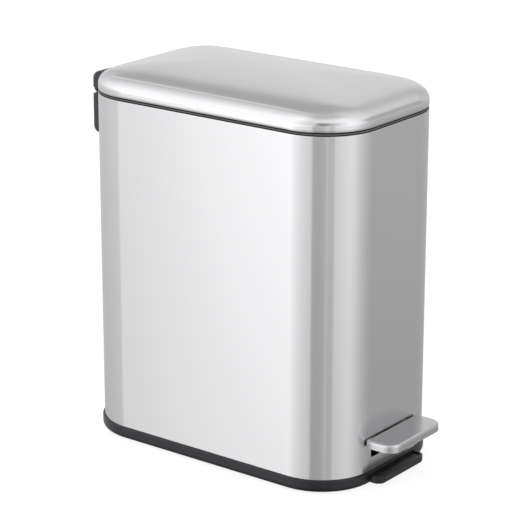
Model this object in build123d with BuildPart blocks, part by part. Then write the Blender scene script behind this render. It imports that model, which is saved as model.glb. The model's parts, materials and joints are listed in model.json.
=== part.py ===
from build123d import *
from math import asin, cos, degrees, radians, sin
import os

# Pedal trash can: a slim rounded-rectangle steel can, 145 mm wide and 245 mm deep.
# +Z is up and the pedal faces -Y. The floor is at z = 0, and the origin is under the middle
# of the overall box. Heights are above the floor; x and y in a sketch are from the can's centre.

# ---- driving dimensions (mm) ----
WIDTH = 145.0                    # steel body across the pedal face
DEPTH = 245.0                    # steel body from the pedal face to the back
CORNER = 43.6                    # corner radius of the body seen from above
SHEET = 0.6                      # steel sheet of the body
LID_SHEET = 0.7                  # steel sheet of the lid

FOOT_PROUD = 1.0                 # rubber feet under the base
BASE_TOP = 10.8                  # top of the black base band, where the steel starts
BASE_PROUD = 1.6                 # base band outside the steel
BODY_TOP = 271.7                 # upper edge of the steel body
LID_RIM = 274.3                  # lower edge of the lid

LID_WALL = 3.8                   # upright part of the lid's side
DOME = 18.1                      # rise of the dome above that wall
DOME_POWER = 2.2                 # exponent of the dome's superellipse
DOME_END_DRAW = 1.306            # the dome draws in this much faster at the two ends

PEDAL_REACH = 25.0               # pedal's front edge in front of the steel
HINGE_REACH = 12.0               # hinge cover behind the steel
CENTRE_Y = (PEDAL_REACH - HINGE_REACH) / 2

LID_SWING = 80.0                 # degrees that the lid opens
AXIS_Y = DEPTH / 2 + 7.5         # lid hinge axis, behind the back wall
AXIS_Z = 268.3
CRANK = 15.56                    # crank pin from the hinge axis
PIVOT_Y = -43.0                  # pedal lever's pivot
PIVOT_Z = 27.7
REAR_ARM = 159.4                 # lever's pivot to its rear pin
LEVER_TILT = 3.85                # degrees the lever's rear end hangs down with the lid shut

# ---- derived positions ----
FRONT = -DEPTH / 2
BACK = DEPTH / 2
CRANK_Y = AXIS_Y - CRANK * cos(radians(LID_SWING / 2))
CRANK_Z = AXIS_Z - CRANK * sin(radians(LID_SWING / 2))
ROD_TRAVEL = 2 * CRANK * sin(radians(LID_SWING / 2))
REAR_PIN_Y = PIVOT_Y + REAR_ARM * cos(radians(LEVER_TILT))
REAR_PIN_Z = PIVOT_Z - REAR_ARM * sin(radians(LEVER_TILT))
LEVER_SWING = LEVER_TILT + degrees(asin(ROD_TRAVEL / REAR_ARM - sin(radians(LEVER_TILT))))


def level(height):
    """Flat plane at a height above the floor, centred on the can."""
    return Plane(origin=(0, CENTRE_Y, height))


def side(x):
    """Upright plane seen from the right: local x runs to the back, local y runs up."""
    return Plane(origin=(x, CENTRE_Y, 0), x_dir=(0, 1, 0), z_dir=(1, 0, 0))


def facing(y):
    """Upright plane seen from the front: local x runs right, local y runs up, normal to -Y."""
    return Plane(origin=(0, CENTRE_Y + y, 0), x_dir=(1, 0, 0), z_dir=(0, -1, 0))


def outline(inset, mode=Mode.ADD):
    """The can's plan outline, drawn in by an inset (a negative inset stands proud)."""
    RectangleRounded(WIDTH - 2 * inset, DEPTH - 2 * inset, CORNER - inset, mode=mode)


def band(outer, inner):
    """A closed ring in plan, between two insets of the outline."""
    outline(outer)
    outline(inner, mode=Mode.SUBTRACT)


# ================= base =================
FLOOR_LOW = 6.0                  # underside of the base's floor
FLOOR_TOP = 8.8
UPSTAND_TOP = 20.0               # ring inside the foot of the steel
UPSTAND = 2.0
BASE_WALL = 3.0
BASE_ROUND = 4.0                 # lower edge of the band
BASE_EDGE = 1.2                  # upper edge of the band
FOOT_X = 50.0
FOOT_Y = 98.0
FOOT_R = 8.0
FOOT_RECESS = 2.0
FOOT_WALL = 2.5
TREAD_HALF = 30.5                # half width of the tread plate that stands out under the pedal
TREAD_REACH = 12.0
TREAD_CORNER = 7.0
TREAD_LOW = 2.6
TREAD_TOP = 8.4
TREAD_ROOT = 8.0                 # how far the tread plate runs back into the base
TREAD_ROUND = 2.0
DISH = 1.0                       # depth of the dish in the tread plate
DISH_RIM = 1.8
DISH_LONG = 8.0
RIB = 2.0                        # ribs under the base's floor
RIB_LOW = 2.0
RIB_PITCH = 60.0
RIB_SIDE = 56.0
TOWER_X = 24.0
TOWER_W = 7.0
TOWER_L = 26.0
PIVOT_R = 2.5
CLAMP_SCREW_Y = 9.5              # clamp screws before and behind the pivot
CLAMP_HOLE = 12.0                # depth of the clamp screws' holes in the towers
SCREW_R = 1.5
ROD_NOTCH = 9.0                  # half width of the notch for the rod in the upstand

with BuildPart() as base:
    with BuildSketch(level(FOOT_PROUD)):
        outline(-BASE_PROUD)
    extrude(amount=BASE_TOP - FOOT_PROUD)
    fillet(base.edges().group_by(Axis.Z)[0], radius=BASE_ROUND)
    fillet(base.edges().group_by(Axis.Z)[-1], radius=BASE_EDGE)
    with BuildSketch(level(BASE_TOP)):
        outline(SHEET)
    extrude(amount=UPSTAND_TOP - BASE_TOP)
    with BuildSketch(level(FLOOR_TOP)):
        outline(SHEET + UPSTAND)
    extrude(amount=UPSTAND_TOP - FLOOR_TOP, mode=Mode.SUBTRACT)
    with BuildSketch(level(FOOT_PROUD)):
        outline(BASE_WALL)
    extrude(amount=FLOOR_LOW - FOOT_PROUD, mode=Mode.SUBTRACT)
    # tread plate in front, with a shallow dish in its top
    with BuildSketch(level(TREAD_LOW)) as tread_plan:
        with Locations((0, FRONT + (TREAD_ROOT - TREAD_REACH) / 2)):
            Rectangle(2 * TREAD_HALF, TREAD_REACH + TREAD_ROOT)
        fillet(tread_plan.vertices().group_by(Axis.Y)[0], radius=TREAD_CORNER)
    extrude(amount=TREAD_TOP - TREAD_LOW)
    proud_edges = base.edges().filter_by(lambda edge: edge.center().Y < CENTRE_Y + FRONT - BASE_PROUD)
    fillet(proud_edges.group_by(Axis.Z)[0], radius=TREAD_ROUND)
    with BuildSketch(level(TREAD_TOP - DISH)) as dish_plan:
        with Locations((0, FRONT - TREAD_REACH + DISH_RIM + DISH_LONG / 2)):
            Rectangle(2 * (TREAD_HALF - DISH_RIM), DISH_LONG)
        fillet(dish_plan.vertices().group_by(Axis.Y)[0], radius=TREAD_CORNER - DISH_RIM)
    extrude(amount=2 * DISH, mode=Mode.SUBTRACT)
    # stiffening ribs and foot bosses under the floor
    with BuildSketch(level(RIB_LOW)):
        with GridLocations(0, RIB_PITCH, 1, 3):
            Rectangle(WIDTH - 2 * BASE_WALL, RIB)
        with GridLocations(RIB_SIDE, 0, 2, 1):
            Rectangle(RIB, DEPTH - 2 * CORNER)
    extrude(amount=FLOOR_LOW - RIB_LOW)
    with BuildSketch(level(FOOT_PROUD)):
        with GridLocations(2 * FOOT_X, 2 * FOOT_Y, 2, 2):
            Circle(FOOT_R + FOOT_WALL)
    extrude(amount=FLOOR_LOW - FOOT_PROUD)
    with BuildSketch(level(FOOT_PROUD)):
        with GridLocations(2 * FOOT_X, 2 * FOOT_Y, 2, 2):
            Circle(FOOT_R)
    extrude(amount=FOOT_RECESS, mode=Mode.SUBTRACT)
    # two towers that carry the pedal lever's pivot pin
    with BuildSketch(level(FLOOR_TOP)):
        with Locations((-TOWER_X, PIVOT_Y), (TOWER_X, PIVOT_Y)):
            Rectangle(TOWER_W, TOWER_L)
    extrude(amount=PIVOT_Z - FLOOR_TOP)
    with BuildSketch(side(0)):
        with Locations((PIVOT_Y, PIVOT_Z)):
            Circle(PIVOT_R)
    extrude(amount=TOWER_X + TOWER_W, both=True, mode=Mode.SUBTRACT)
    with BuildSketch(level(PIVOT_Z - CLAMP_HOLE)):
        with Locations((0, PIVOT_Y)):
            with GridLocations(2 * TOWER_X, 2 * CLAMP_SCREW_Y, 2, 2):
                Circle(SCREW_R)
    extrude(amount=CLAMP_HOLE, mode=Mode.SUBTRACT)
    # notch at the back where the push rod and the lever's end move
    with BuildSketch(level(FLOOR_TOP)):
        with Locations((0, BACK - SHEET - UPSTAND)):
            Rectangle(2 * ROD_NOTCH, 2 * UPSTAND)
    extrude(amount=UPSTAND_TOP - FLOOR_TOP, mode=Mode.SUBTRACT)
base.part.label = "base"

with BuildPart() as rubber_feet:
    with BuildSketch(level(0)):
        with GridLocations(2 * FOOT_X, 2 * FOOT_Y, 2, 2):
            Circle(FOOT_R)
    extrude(amount=FOOT_PROUD + FOOT_RECESS)
    chamfer(rubber_feet.edges().group_by(Axis.Z)[0], length=FOOT_PROUD / 2)
rubber_feet.part.label = "rubber_feet"

# ================= steel body =================
SLOT_W = 52.8                    # slot for the pedal lever in the front
SLOT_LOW = 21.1
SLOT_HIGH = 36.6
SLOT_CORNER = 2.0
THROUGH = 3.0                    # depth of a cut that goes right through one sheet
WINDOW_W = 13.0                  # window for the lid's crank in the back
WINDOW_LOW = 250.0
COVER_SCREW_X = 26.0
COVER_SCREW_Z = 248.0
SCREW_HOLE_R = 1.75

with BuildPart() as body_shell:
    with BuildSketch(level(BASE_TOP)):
        band(0, SHEET)
    extrude(amount=BODY_TOP - BASE_TOP)
    with BuildSketch(facing(FRONT)):
        with Locations((0, (SLOT_LOW + SLOT_HIGH) / 2)):
            RectangleRounded(SLOT_W, SLOT_HIGH - SLOT_LOW, SLOT_CORNER)
    extrude(amount=THROUGH, both=True, mode=Mode.SUBTRACT)
    with BuildSketch(facing(BACK)):
        with Locations((0, (WINDOW_LOW + BODY_TOP) / 2)):
            Rectangle(WINDOW_W, BODY_TOP - WINDOW_LOW)
        with Locations((-COVER_SCREW_X, COVER_SCREW_Z), (COVER_SCREW_X, COVER_SCREW_Z)):
            Circle(SCREW_HOLE_R)
    extrude(amount=THROUGH, both=True, mode=Mode.SUBTRACT)
body_shell.part.label = "body_shell"

# ================= collar in the mouth of the body =================
RING_LOW = 272.3                 # the collar's visible ring, between body and lid
RING_TOP = 273.6
RING_OUTER = 0.4                 # ring's outer edge inside the can's outline
RING_INNER = 3.0
SKIRT_LOW = 256.0
SKIRT = 1.8
LEDGE_LOW = 262.5                # ledge that the bucket hangs on
LEDGE_TOP = 264.5
LEDGE_HALF = 64.0
LEDGE_FRONT = -114.0
LEDGE_BACK = 106.0
LEDGE_CORNER = 35.0
ROD_SLOT_Y = 109.8               # front end of the slot for rod and crank

with BuildPart() as top_collar:
    with BuildSketch(level(RING_LOW)):
        band(RING_OUTER, RING_INNER)
    extrude(amount=RING_TOP - RING_LOW)
    with BuildSketch(level(SKIRT_LOW)):
        band(SHEET, SHEET + SKIRT)
    extrude(amount=RING_LOW - SKIRT_LOW)
    with BuildSketch(level(LEDGE_LOW)):
        outline(SHEET + SKIRT)
        with Locations((0, (LEDGE_FRONT + LEDGE_BACK) / 2)):
            RectangleRounded(2 * LEDGE_HALF, LEDGE_BACK - LEDGE_FRONT, LEDGE_CORNER,
                             mode=Mode.SUBTRACT)
    extrude(amount=LEDGE_TOP - LEDGE_LOW)
    with BuildSketch(level(SKIRT_LOW)):
        with Locations((0, (ROD_SLOT_Y + BACK) / 2)):
            Rectangle(WINDOW_W, BACK - ROD_SLOT_Y)
    extrude(amount=RING_TOP - SKIRT_LOW, mode=Mode.SUBTRACT)
top_collar.part.label = "top_collar"

# ================= hinge cover on the back =================
HINGE_HALF = 40.5                # half width of both hinge halves
KNUCKLE_R = 4.4
KNUCKLE_IN = 17.0                # the cover's knuckles start here, left and right
KNUCKLE_OUT = HINGE_HALF - 4.0   # and end here, inside the housing's ends
COVER_LOW = 231.0
COVER_TOP = 263.2
COVER_WALL = 2.5
COVER_DROP = 2.0                 # the cover's underside rises this much to the rear
COVER_CORNER = 5.0               # upright rear corners
COVER_ROUND = 6.0                # lower rear edge
CAVITY_LOW = 240.5
CAVITY_TOP = 260.5
COVER_BOSS_R = 4.0
COVER_SCREW_IN = 8.0
WEB_FRONT = 4.0                  # knuckle webs before and behind the hinge axis
WEB_REAR = 2.0
PIN_R = 2.0
REAR = BACK + HINGE_REACH

with BuildPart() as hinge_cover:
    with BuildSketch(side(-HINGE_HALF)) as cover_side:
        with BuildLine():
            Polyline((BACK, COVER_TOP), (BACK, COVER_LOW), (REAR, COVER_LOW + COVER_DROP),
                     (REAR, COVER_TOP), close=True)
        make_face()
        fillet(cover_side.vertices().group_by(Axis.X)[-1].sort_by(Axis.Y)[0], radius=COVER_ROUND)
    extrude(amount=2 * HINGE_HALF)
    fillet(hinge_cover.edges().filter_by(Axis.Z).group_by(Axis.Y)[-1], radius=COVER_CORNER)
    with BuildSketch(facing(BACK)):
        with Locations((0, (CAVITY_LOW + CAVITY_TOP) / 2)):
            Rectangle(2 * (HINGE_HALF - COVER_WALL), CAVITY_TOP - CAVITY_LOW)
    extrude(amount=-(HINGE_REACH - COVER_WALL), mode=Mode.SUBTRACT)
    with BuildSketch(facing(BACK)):
        with Locations((0, (WINDOW_LOW + COVER_TOP) / 2)):
            Rectangle(WINDOW_W, COVER_TOP - WINDOW_LOW)
    extrude(amount=-(HINGE_REACH - COVER_WALL), mode=Mode.SUBTRACT)
    with BuildSketch(facing(BACK)):
        with Locations((-COVER_SCREW_X, COVER_SCREW_Z), (COVER_SCREW_X, COVER_SCREW_Z)):
            Circle(COVER_BOSS_R)
    extrude(amount=-(HINGE_REACH - COVER_WALL))
    with BuildSketch(facing(BACK)):
        with Locations((-COVER_SCREW_X, COVER_SCREW_Z), (COVER_SCREW_X, COVER_SCREW_Z)):
            Circle(SCREW_R)
    extrude(amount=-COVER_SCREW_IN, mode=Mode.SUBTRACT)
    # two knuckles on short webs, left and right of the lid's middle knuckle
    for start in (-KNUCKLE_OUT, KNUCKLE_IN):
        with BuildSketch(side(start)):
            with Locations((AXIS_Y, AXIS_Z)):
                Circle(KNUCKLE_R)
            with BuildLine():
                Polyline((AXIS_Y - WEB_FRONT, COVER_TOP), (AXIS_Y - WEB_FRONT, AXIS_Z),
                         (AXIS_Y + WEB_REAR, AXIS_Z), (AXIS_Y + WEB_REAR, COVER_TOP), close=True)
            make_face()
        extrude(amount=KNUCKLE_OUT - KNUCKLE_IN)
    with BuildSketch(side(-HINGE_HALF)):
        with Locations((AXIS_Y, AXIS_Z)):
            Circle(PIN_R)
    extrude(amount=2 * HINGE_HALF, mode=Mode.SUBTRACT)
hinge_cover.part.label = "hinge_cover"

COVER_HEAD_R = 3.0
COVER_HEAD = 1.6
PIN_SHORT = 1.0                  # the hinge pin ends this far inside the knuckles

with BuildPart() as hinge_cover_screws:
    with BuildSketch(facing(BACK - SHEET)):
        with Locations((-COVER_SCREW_X, COVER_SCREW_Z), (COVER_SCREW_X, COVER_SCREW_Z)):
            Circle(COVER_HEAD_R)
    extrude(amount=COVER_HEAD)
    with BuildSketch(facing(BACK - SHEET)):
        with Locations((-COVER_SCREW_X, COVER_SCREW_Z), (COVER_SCREW_X, COVER_SCREW_Z)):
            Circle(SCREW_R)
    extrude(amount=-COVER_SCREW_IN)
hinge_cover_screws.part.label = "hinge_cover_screws"

with BuildPart() as hinge_pin:
    with BuildSketch(side(-KNUCKLE_OUT + PIN_SHORT)):
        with Locations((AXIS_Y, AXIS_Z)):
            Circle(PIN_R)
    extrude(amount=2 * (KNUCKLE_OUT - PIN_SHORT))
hinge_pin.part.label = "hinge_pin"

# ================= lid =================
RIDGE_CORNER = 1.5               # least corner radius, at the ridge of the dome
HOLLOW_DROP = 1.0                # the hollow is cut from this far below the rim
DOME_STATIONS = (1.0, 0.995, 0.98, 0.955, 0.92, 0.87, 0.8, 0.7, 0.58, 0.44, 0.28, 0.07)


def dome_section(share, inset):
    """One level outline of the dome: share is 1 at the wall and falls to 0 at the ridge."""
    height = LID_RIM + LID_WALL + DOME * (1 - share ** DOME_POWER) ** (1 / DOME_POWER) - inset
    drawn_in = WIDTH / 2 * (1 - share)
    with BuildSketch(level(height)) as section:
        RectangleRounded(WIDTH - 2 * drawn_in - 2 * inset,
                         DEPTH - 2 * drawn_in * DOME_END_DRAW - 2 * inset,
                         max((CORNER - inset) * share ** 3, RIDGE_CORNER))
    return section.sketch


with BuildPart() as lid_form:
    loft([dome_section(share, 0) for share in DOME_STATIONS], ruled=True)
    with BuildSketch(level(LID_RIM)):
        outline(0)
    extrude(amount=LID_WALL)

with BuildPart() as lid_hollow:
    loft([dome_section(share, LID_SHEET) for share in DOME_STATIONS], ruled=True)
    with BuildSketch(level(LID_RIM - HOLLOW_DROP)):
        outline(LID_SHEET)
    extrude(amount=LID_WALL - LID_SHEET + HOLLOW_DROP)

LID_SCREW_X = 24.0
LID_SCREW_Z = 276.7
LID_SCREW_OFF = 0.4              # screw heads stand off the curve of the lid's wall

with BuildPart() as lid_shell:
    add(lid_form.part)
    add(lid_hollow.part, mode=Mode.SUBTRACT)
    with BuildSketch(facing(BACK)):
        with Locations((-LID_SCREW_X, LID_SCREW_Z), (LID_SCREW_X, LID_SCREW_Z)):
            Circle(SCREW_HOLE_R)
    extrude(amount=THROUGH, mode=Mode.SUBTRACT)
lid_shell.part.label = "lid_shell"

LINER_LOW = 274.9                # flange of the plastic pan inside the lid
LINER = 1.6
PAN_INSET = 12.0
PAN_TOP = 285.0
SCREW_RELIEF = 8.0               # notches in the flange for the hinge screws

with BuildPart() as lid_liner:
    with BuildSketch(level(LINER_LOW)):
        band(LID_SHEET, PAN_INSET + LINER)
    extrude(amount=LINER)
    with BuildSketch(level(LINER_LOW)):
        band(PAN_INSET, PAN_INSET + LINER)
    extrude(amount=PAN_TOP - LINER_LOW)
    with BuildSketch(level(PAN_TOP - LINER)):
        outline(PAN_INSET)
    extrude(amount=LINER)
    with BuildSketch(level(LINER_LOW)):
        with Locations((-LID_SCREW_X, BACK - LID_SHEET), (LID_SCREW_X, BACK - LID_SHEET)):
            Rectangle(SCREW_RELIEF, SCREW_RELIEF)
    extrude(amount=LINER, mode=Mode.SUBTRACT)
lid_liner.part.label = "lid_liner"

BUMPER_W = 1.8
BUMPER_L = 10.0
BUMPER_CORNER = 0.8
BUMPER_INSET = 2.0
BUMPER_PLAY = 0.1                # bumper to the collar's ring

with BuildPart() as lid_bumpers:
    with BuildSketch(level(RING_TOP + BUMPER_PLAY)):
        with GridLocations(WIDTH - 2 * BUMPER_INSET, DEPTH / 2, 2, 2):
            RectangleRounded(BUMPER_W, BUMPER_L, BUMPER_CORNER)
    extrude(amount=LINER_LOW - RING_TOP - BUMPER_PLAY)
lid_bumpers.part.label = "lid_bumpers"

BLOCK_LOW = 268.8
BLOCK_TOP = 281.0
BLOCK_ROUND = 5.6
BLOCK_IN = 7.0                   # the block's upper part starts this far inside the back wall
BLOCK_STEP = 0.5
BLOCK_CORNER = 5.0
KNUCKLE_PLAY = 0.4
LID_SCREW_IN = 8.0
LID_SCREW_HOLE = 10.0
LID_HEAD_R = 2.4
LID_HEAD = 1.5
PIN_PLAY = 0.05
PIN_OVER = 0.8                   # the crank pin's rivet heads outside the cheeks
CHEEK_IN = 1.4
CHEEK = 3.0
CRANK_EYE = 3.4

with BuildPart() as lid_hinge_block:
    with BuildSketch(side(-HINGE_HALF)) as block_side:
        with BuildLine():
            Polyline((BACK + BLOCK_STEP, BLOCK_LOW), (AXIS_Y + KNUCKLE_R, BLOCK_LOW),
                     (AXIS_Y + KNUCKLE_R, BLOCK_TOP), (BACK - BLOCK_IN, BLOCK_TOP),
                     (BACK - BLOCK_IN, LID_RIM), (BACK + BLOCK_STEP, LID_RIM), close=True)
        make_face()
        fillet(block_side.vertices().group_by(Axis.Y)[-1].sort_by(Axis.X)[-1], radius=BLOCK_ROUND)
    extrude(amount=2 * HINGE_HALF)
    fillet(lid_hinge_block.edges().filter_by(Axis.Z).group_by(Axis.Y)[-1], radius=BLOCK_CORNER)
    add(lid_form.part, mode=Mode.SUBTRACT)
    for start in (-KNUCKLE_OUT - KNUCKLE_PLAY, KNUCKLE_IN - KNUCKLE_PLAY):
        with BuildSketch(side(start)):
            with Locations((AXIS_Y, AXIS_Z)):
                Circle(KNUCKLE_R + KNUCKLE_PLAY)
        extrude(amount=KNUCKLE_OUT - KNUCKLE_IN + 2 * KNUCKLE_PLAY, mode=Mode.SUBTRACT)
    with BuildSketch(side(-KNUCKLE_IN + KNUCKLE_PLAY)):
        with Locations((AXIS_Y, AXIS_Z)):
            Circle(KNUCKLE_R)
    extrude(amount=2 * (KNUCKLE_IN - KNUCKLE_PLAY))
    # two crank cheeks, one each side of the push rod
    for start in (-CHEEK_IN - CHEEK, CHEEK_IN):
        with BuildSketch(side(start)):
            with Locations((AXIS_Y, AXIS_Z)):
                Circle(KNUCKLE_R)
            with Locations((CRANK_Y, CRANK_Z)):
                Circle(CRANK_EYE)
            make_hull()
        extrude(amount=CHEEK)
    with BuildSketch(side(-KNUCKLE_IN)):
        with Locations((AXIS_Y, AXIS_Z)):
            Circle(PIN_R + PIN_PLAY)
        with Locations((CRANK_Y, CRANK_Z)):
            Circle(SCREW_R)
    extrude(amount=2 * KNUCKLE_IN, mode=Mode.SUBTRACT)
    with BuildSketch(facing(BACK + LID_SCREW_IN - LID_SCREW_HOLE)):
        with Locations((-LID_SCREW_X, LID_SCREW_Z), (LID_SCREW_X, LID_SCREW_Z)):
            Circle(SCREW_R)
    extrude(amount=-LID_SCREW_HOLE, mode=Mode.SUBTRACT)
lid_hinge_block.part.label = "lid_hinge_block"

with BuildPart() as lid_hinge_screws:
    with BuildSketch(facing(BACK - LID_SHEET - LID_SCREW_OFF)):
        with Locations((-LID_SCREW_X, LID_SCREW_Z), (LID_SCREW_X, LID_SCREW_Z)):
            Circle(LID_HEAD_R)
    extrude(amount=LID_HEAD)
    with BuildSketch(facing(BACK - LID_SHEET - LID_SCREW_OFF)):
        with Locations((-LID_SCREW_X, LID_SCREW_Z), (LID_SCREW_X, LID_SCREW_Z)):
            Circle(SCREW_R)
    extrude(amount=-LID_SCREW_IN)
lid_hinge_screws.part.label = "lid_hinge_screws"

with BuildPart() as crank_pin:
    with BuildSketch(side(-CHEEK_IN - CHEEK - PIN_OVER)):
        with Locations((CRANK_Y, CRANK_Z)):
            Circle(SCREW_R)
    extrude(amount=2 * (CHEEK_IN + CHEEK + PIN_OVER))
crank_pin.part.label = "crank_pin"

# ================= push rod and its guides =================
ROD_HALF = 1.0                   # half the strip's thickness
ROD_Y = 116.3                    # middle of the strip
ROD_W = 5.6
HEAD_SLOT_W = 7.4
HEAD_SLOT_H = 3.9
HEAD_RIM = 1.5
EYE_R = 4.0
EYE_SLOT_W = 3.7
EYE_SLOT_H = 3.1
EYE_SHIFT = 0.18                 # the rear pin swings forward of its place at rest

with BuildPart() as push_rod:
    with BuildSketch(side(0)):
        with Locations((ROD_Y, CRANK_Z)):
            SlotOverall(HEAD_SLOT_W + 2 * HEAD_RIM, HEAD_SLOT_H + 2 * HEAD_RIM)
        with Locations((ROD_Y, (REAR_PIN_Z + CRANK_Z) / 2)):
            Rectangle(ROD_W, CRANK_Z - REAR_PIN_Z - HEAD_SLOT_H)
        with Locations((ROD_Y, REAR_PIN_Z)):
            Circle(EYE_R)
        with Locations((ROD_Y, CRANK_Z)):
            SlotOverall(HEAD_SLOT_W, HEAD_SLOT_H, mode=Mode.SUBTRACT)
        with Locations((REAR_PIN_Y + EYE_SHIFT, REAR_PIN_Z)):
            SlotOverall(EYE_SLOT_W, EYE_SLOT_H, mode=Mode.SUBTRACT)
    extrude(amount=ROD_HALF, both=True)
push_rod.part.label = "push_rod"

GUIDE_SHEET = 1.2
GUIDE_HALF = ROD_HALF + 0.5      # sideways play of the rod in its guides
GUIDE_FRONT = ROD_Y - ROD_W / 2 - 0.6
GUIDE_HIGH = 12.0
GUIDE_FLANGE = 18.0
GUIDE_LEVELS = (90.0, 205.0)

with BuildPart() as rod_guides:
    for height in GUIDE_LEVELS:
        with BuildSketch(level(height)):
            with Locations((0, (GUIDE_FRONT - GUIDE_SHEET + BACK - SHEET) / 2)):
                Rectangle(2 * (GUIDE_HALF + GUIDE_SHEET), BACK - SHEET - GUIDE_FRONT + GUIDE_SHEET)
            with Locations((0, BACK - SHEET - GUIDE_SHEET / 2)):
                Rectangle(GUIDE_FLANGE, GUIDE_SHEET)
            with Locations((0, (GUIDE_FRONT + BACK) / 2)):
                Rectangle(2 * GUIDE_HALF, BACK - GUIDE_FRONT, mode=Mode.SUBTRACT)
        extrude(amount=GUIDE_HIGH)
rod_guides.part.label = "rod_guides"

# ================= pedal lever =================
LEVER_HALF = 18.0
LEVER_END = 120.5
LEVER_SHEET = 1.6
TONGUE_TOP = 35.4
TONGUE_LOW = 32.2
TONGUE_FRONT = FRONT - 17.5
REAR_TOP = 20.5
REAR_LOW = 12.6
BEND_Y = -108.0                  # where the tongue bends down into the arm
TAPER_Y = -30.0                  # the arm tapers from here
NARROW_Y = 60.0                  # to here, and runs on narrow to the rear
NARROW_HALF = 6.0
BLANK = 60.0                     # height of the blanks that the plan shapes are cut from
FORK_HALF = 2.0
FORK_LONG = 13.5
RIVET_X = 12.0
RIVET_Y = FRONT - 11.5

with BuildPart() as pedal_lever:
    with BuildSketch(side(-LEVER_HALF)):
        with BuildLine():
            Polyline((TONGUE_FRONT, TONGUE_TOP), (BEND_Y, TONGUE_TOP), (LEVER_END, REAR_TOP),
                     (LEVER_END, REAR_LOW), (BEND_Y + 28.0, TONGUE_LOW - 7.0),
                     (BEND_Y - 4.0, TONGUE_LOW), (TONGUE_FRONT, TONGUE_LOW), close=True)
        make_face()
    extrude(amount=2 * LEVER_HALF)
    with BuildSketch(level(0)):
        with BuildLine():
            Polyline((-LEVER_HALF, TONGUE_FRONT), (LEVER_HALF, TONGUE_FRONT),
                     (LEVER_HALF, TAPER_Y), (NARROW_HALF, NARROW_Y), (NARROW_HALF, LEVER_END),
                     (-NARROW_HALF, LEVER_END), (-NARROW_HALF, NARROW_Y), (-LEVER_HALF, TAPER_Y),
                     close=True)
        make_face()
    extrude(amount=BLANK, mode=Mode.INTERSECT)
    # the arm is a channel, open below: the hollow between its two flanges, under its web
    wide_in = LEVER_HALF - LEVER_SHEET
    narrow_in = NARROW_HALF - LEVER_SHEET
    with BuildSketch(level(0)):
        with BuildLine():
            Polyline((-wide_in, BEND_Y - 2.0), (wide_in, BEND_Y - 2.0), (wide_in, TAPER_Y),
                     (narrow_in, NARROW_Y), (narrow_in, LEVER_END),
                     (-narrow_in, LEVER_END), (-narrow_in, NARROW_Y), (-wide_in, TAPER_Y),
                     close=True)
        make_face()
    channel = extrude(amount=BLANK, mode=Mode.PRIVATE)
    with BuildSketch(side(-LEVER_HALF)):
        with BuildLine():
            Polyline((BEND_Y - 3.0, TONGUE_TOP - LEVER_SHEET), (BEND_Y, TONGUE_TOP - LEVER_SHEET),
                     (LEVER_END, REAR_TOP - LEVER_SHEET), (LEVER_END, 0),
                     (BEND_Y - 3.0, 0), close=True)
        make_face()
    under_web = extrude(amount=2 * LEVER_HALF, mode=Mode.PRIVATE)
    add(channel & under_web, mode=Mode.SUBTRACT)
    # fork for the rod, pivot holes and rear pin holes
    with BuildSketch(level(0)):
        with Locations((0, LEVER_END - FORK_LONG / 2)):
            Rectangle(2 * FORK_HALF, FORK_LONG)
    extrude(amount=BLANK, mode=Mode.SUBTRACT)
    with BuildSketch(side(-LEVER_HALF)):
        with Locations((PIVOT_Y, PIVOT_Z)):
            Circle(PIVOT_R + PIN_PLAY)
        with Locations((REAR_PIN_Y, REAR_PIN_Z)):
            Circle(SCREW_R)
    extrude(amount=2 * LEVER_HALF, mode=Mode.SUBTRACT)
    with BuildSketch(level(TONGUE_LOW)):
        with Locations((-RIVET_X, RIVET_Y), (RIVET_X, RIVET_Y)):
            Circle(SCREW_R)
    extrude(amount=TONGUE_TOP - TONGUE_LOW, mode=Mode.SUBTRACT)
pedal_lever.part.label = "pedal_lever"

with BuildPart() as lever_pin:
    with BuildSketch(side(-NARROW_HALF - SCREW_R)):
        with Locations((REAR_PIN_Y, REAR_PIN_Z)):
            Circle(SCREW_R)
    extrude(amount=2 * (NARROW_HALF + SCREW_R))
lever_pin.part.label = "lever_pin"

# ================= pedal on the lever's tongue =================
PEDAL_HALF = 33.5
PEDAL_GAP = 1.5                  # pedal to the steel body
PEDAL_TOP = 37.3
PEDAL_SKIRT = 6.0
PEDAL_CORNER = 10.0
PEDAL_SHEET = 0.8
PEDAL_ROUND = 2.0
PAD_WALL = 2.0
PAD_PLAY = 0.1
PAD_SHORT = 0.6                  # the pad ends this far inside the cover's back edge
RIVET_HEAD_R = 3.0
RIVET_HEAD = 1.0
PEDAL_FRONT = FRONT - PEDAL_REACH
PEDAL_BACK = FRONT - PEDAL_GAP


def pedal_plan(inset, back):
    """Plan of the pedal, drawn in at the front and sides, with round front corners."""
    with BuildSketch(level(PEDAL_TOP - PEDAL_SKIRT)) as plan:
        with Locations((0, (PEDAL_FRONT + inset + back) / 2)):
            Rectangle(2 * (PEDAL_HALF - inset), back - PEDAL_FRONT - inset)
        fillet(plan.vertices().group_by(Axis.Y)[0], radius=PEDAL_CORNER - inset)
    return plan.sketch


with BuildPart() as pedal_cover:
    extrude(pedal_plan(0, PEDAL_BACK), amount=PEDAL_SKIRT)
    fillet(pedal_cover.edges().group_by(Axis.Z)[-1].group_by(Axis.Y)[:-1], radius=PEDAL_ROUND)
    extrude(pedal_plan(PEDAL_SHEET, PEDAL_BACK + 1), amount=PEDAL_SKIRT - PEDAL_ROUND,
            mode=Mode.SUBTRACT)
    extrude(pedal_plan(PEDAL_ROUND, PEDAL_BACK + 1), amount=PEDAL_SKIRT - PEDAL_SHEET,
            mode=Mode.SUBTRACT)
pedal_cover.part.label = "pedal_cover"

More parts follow.
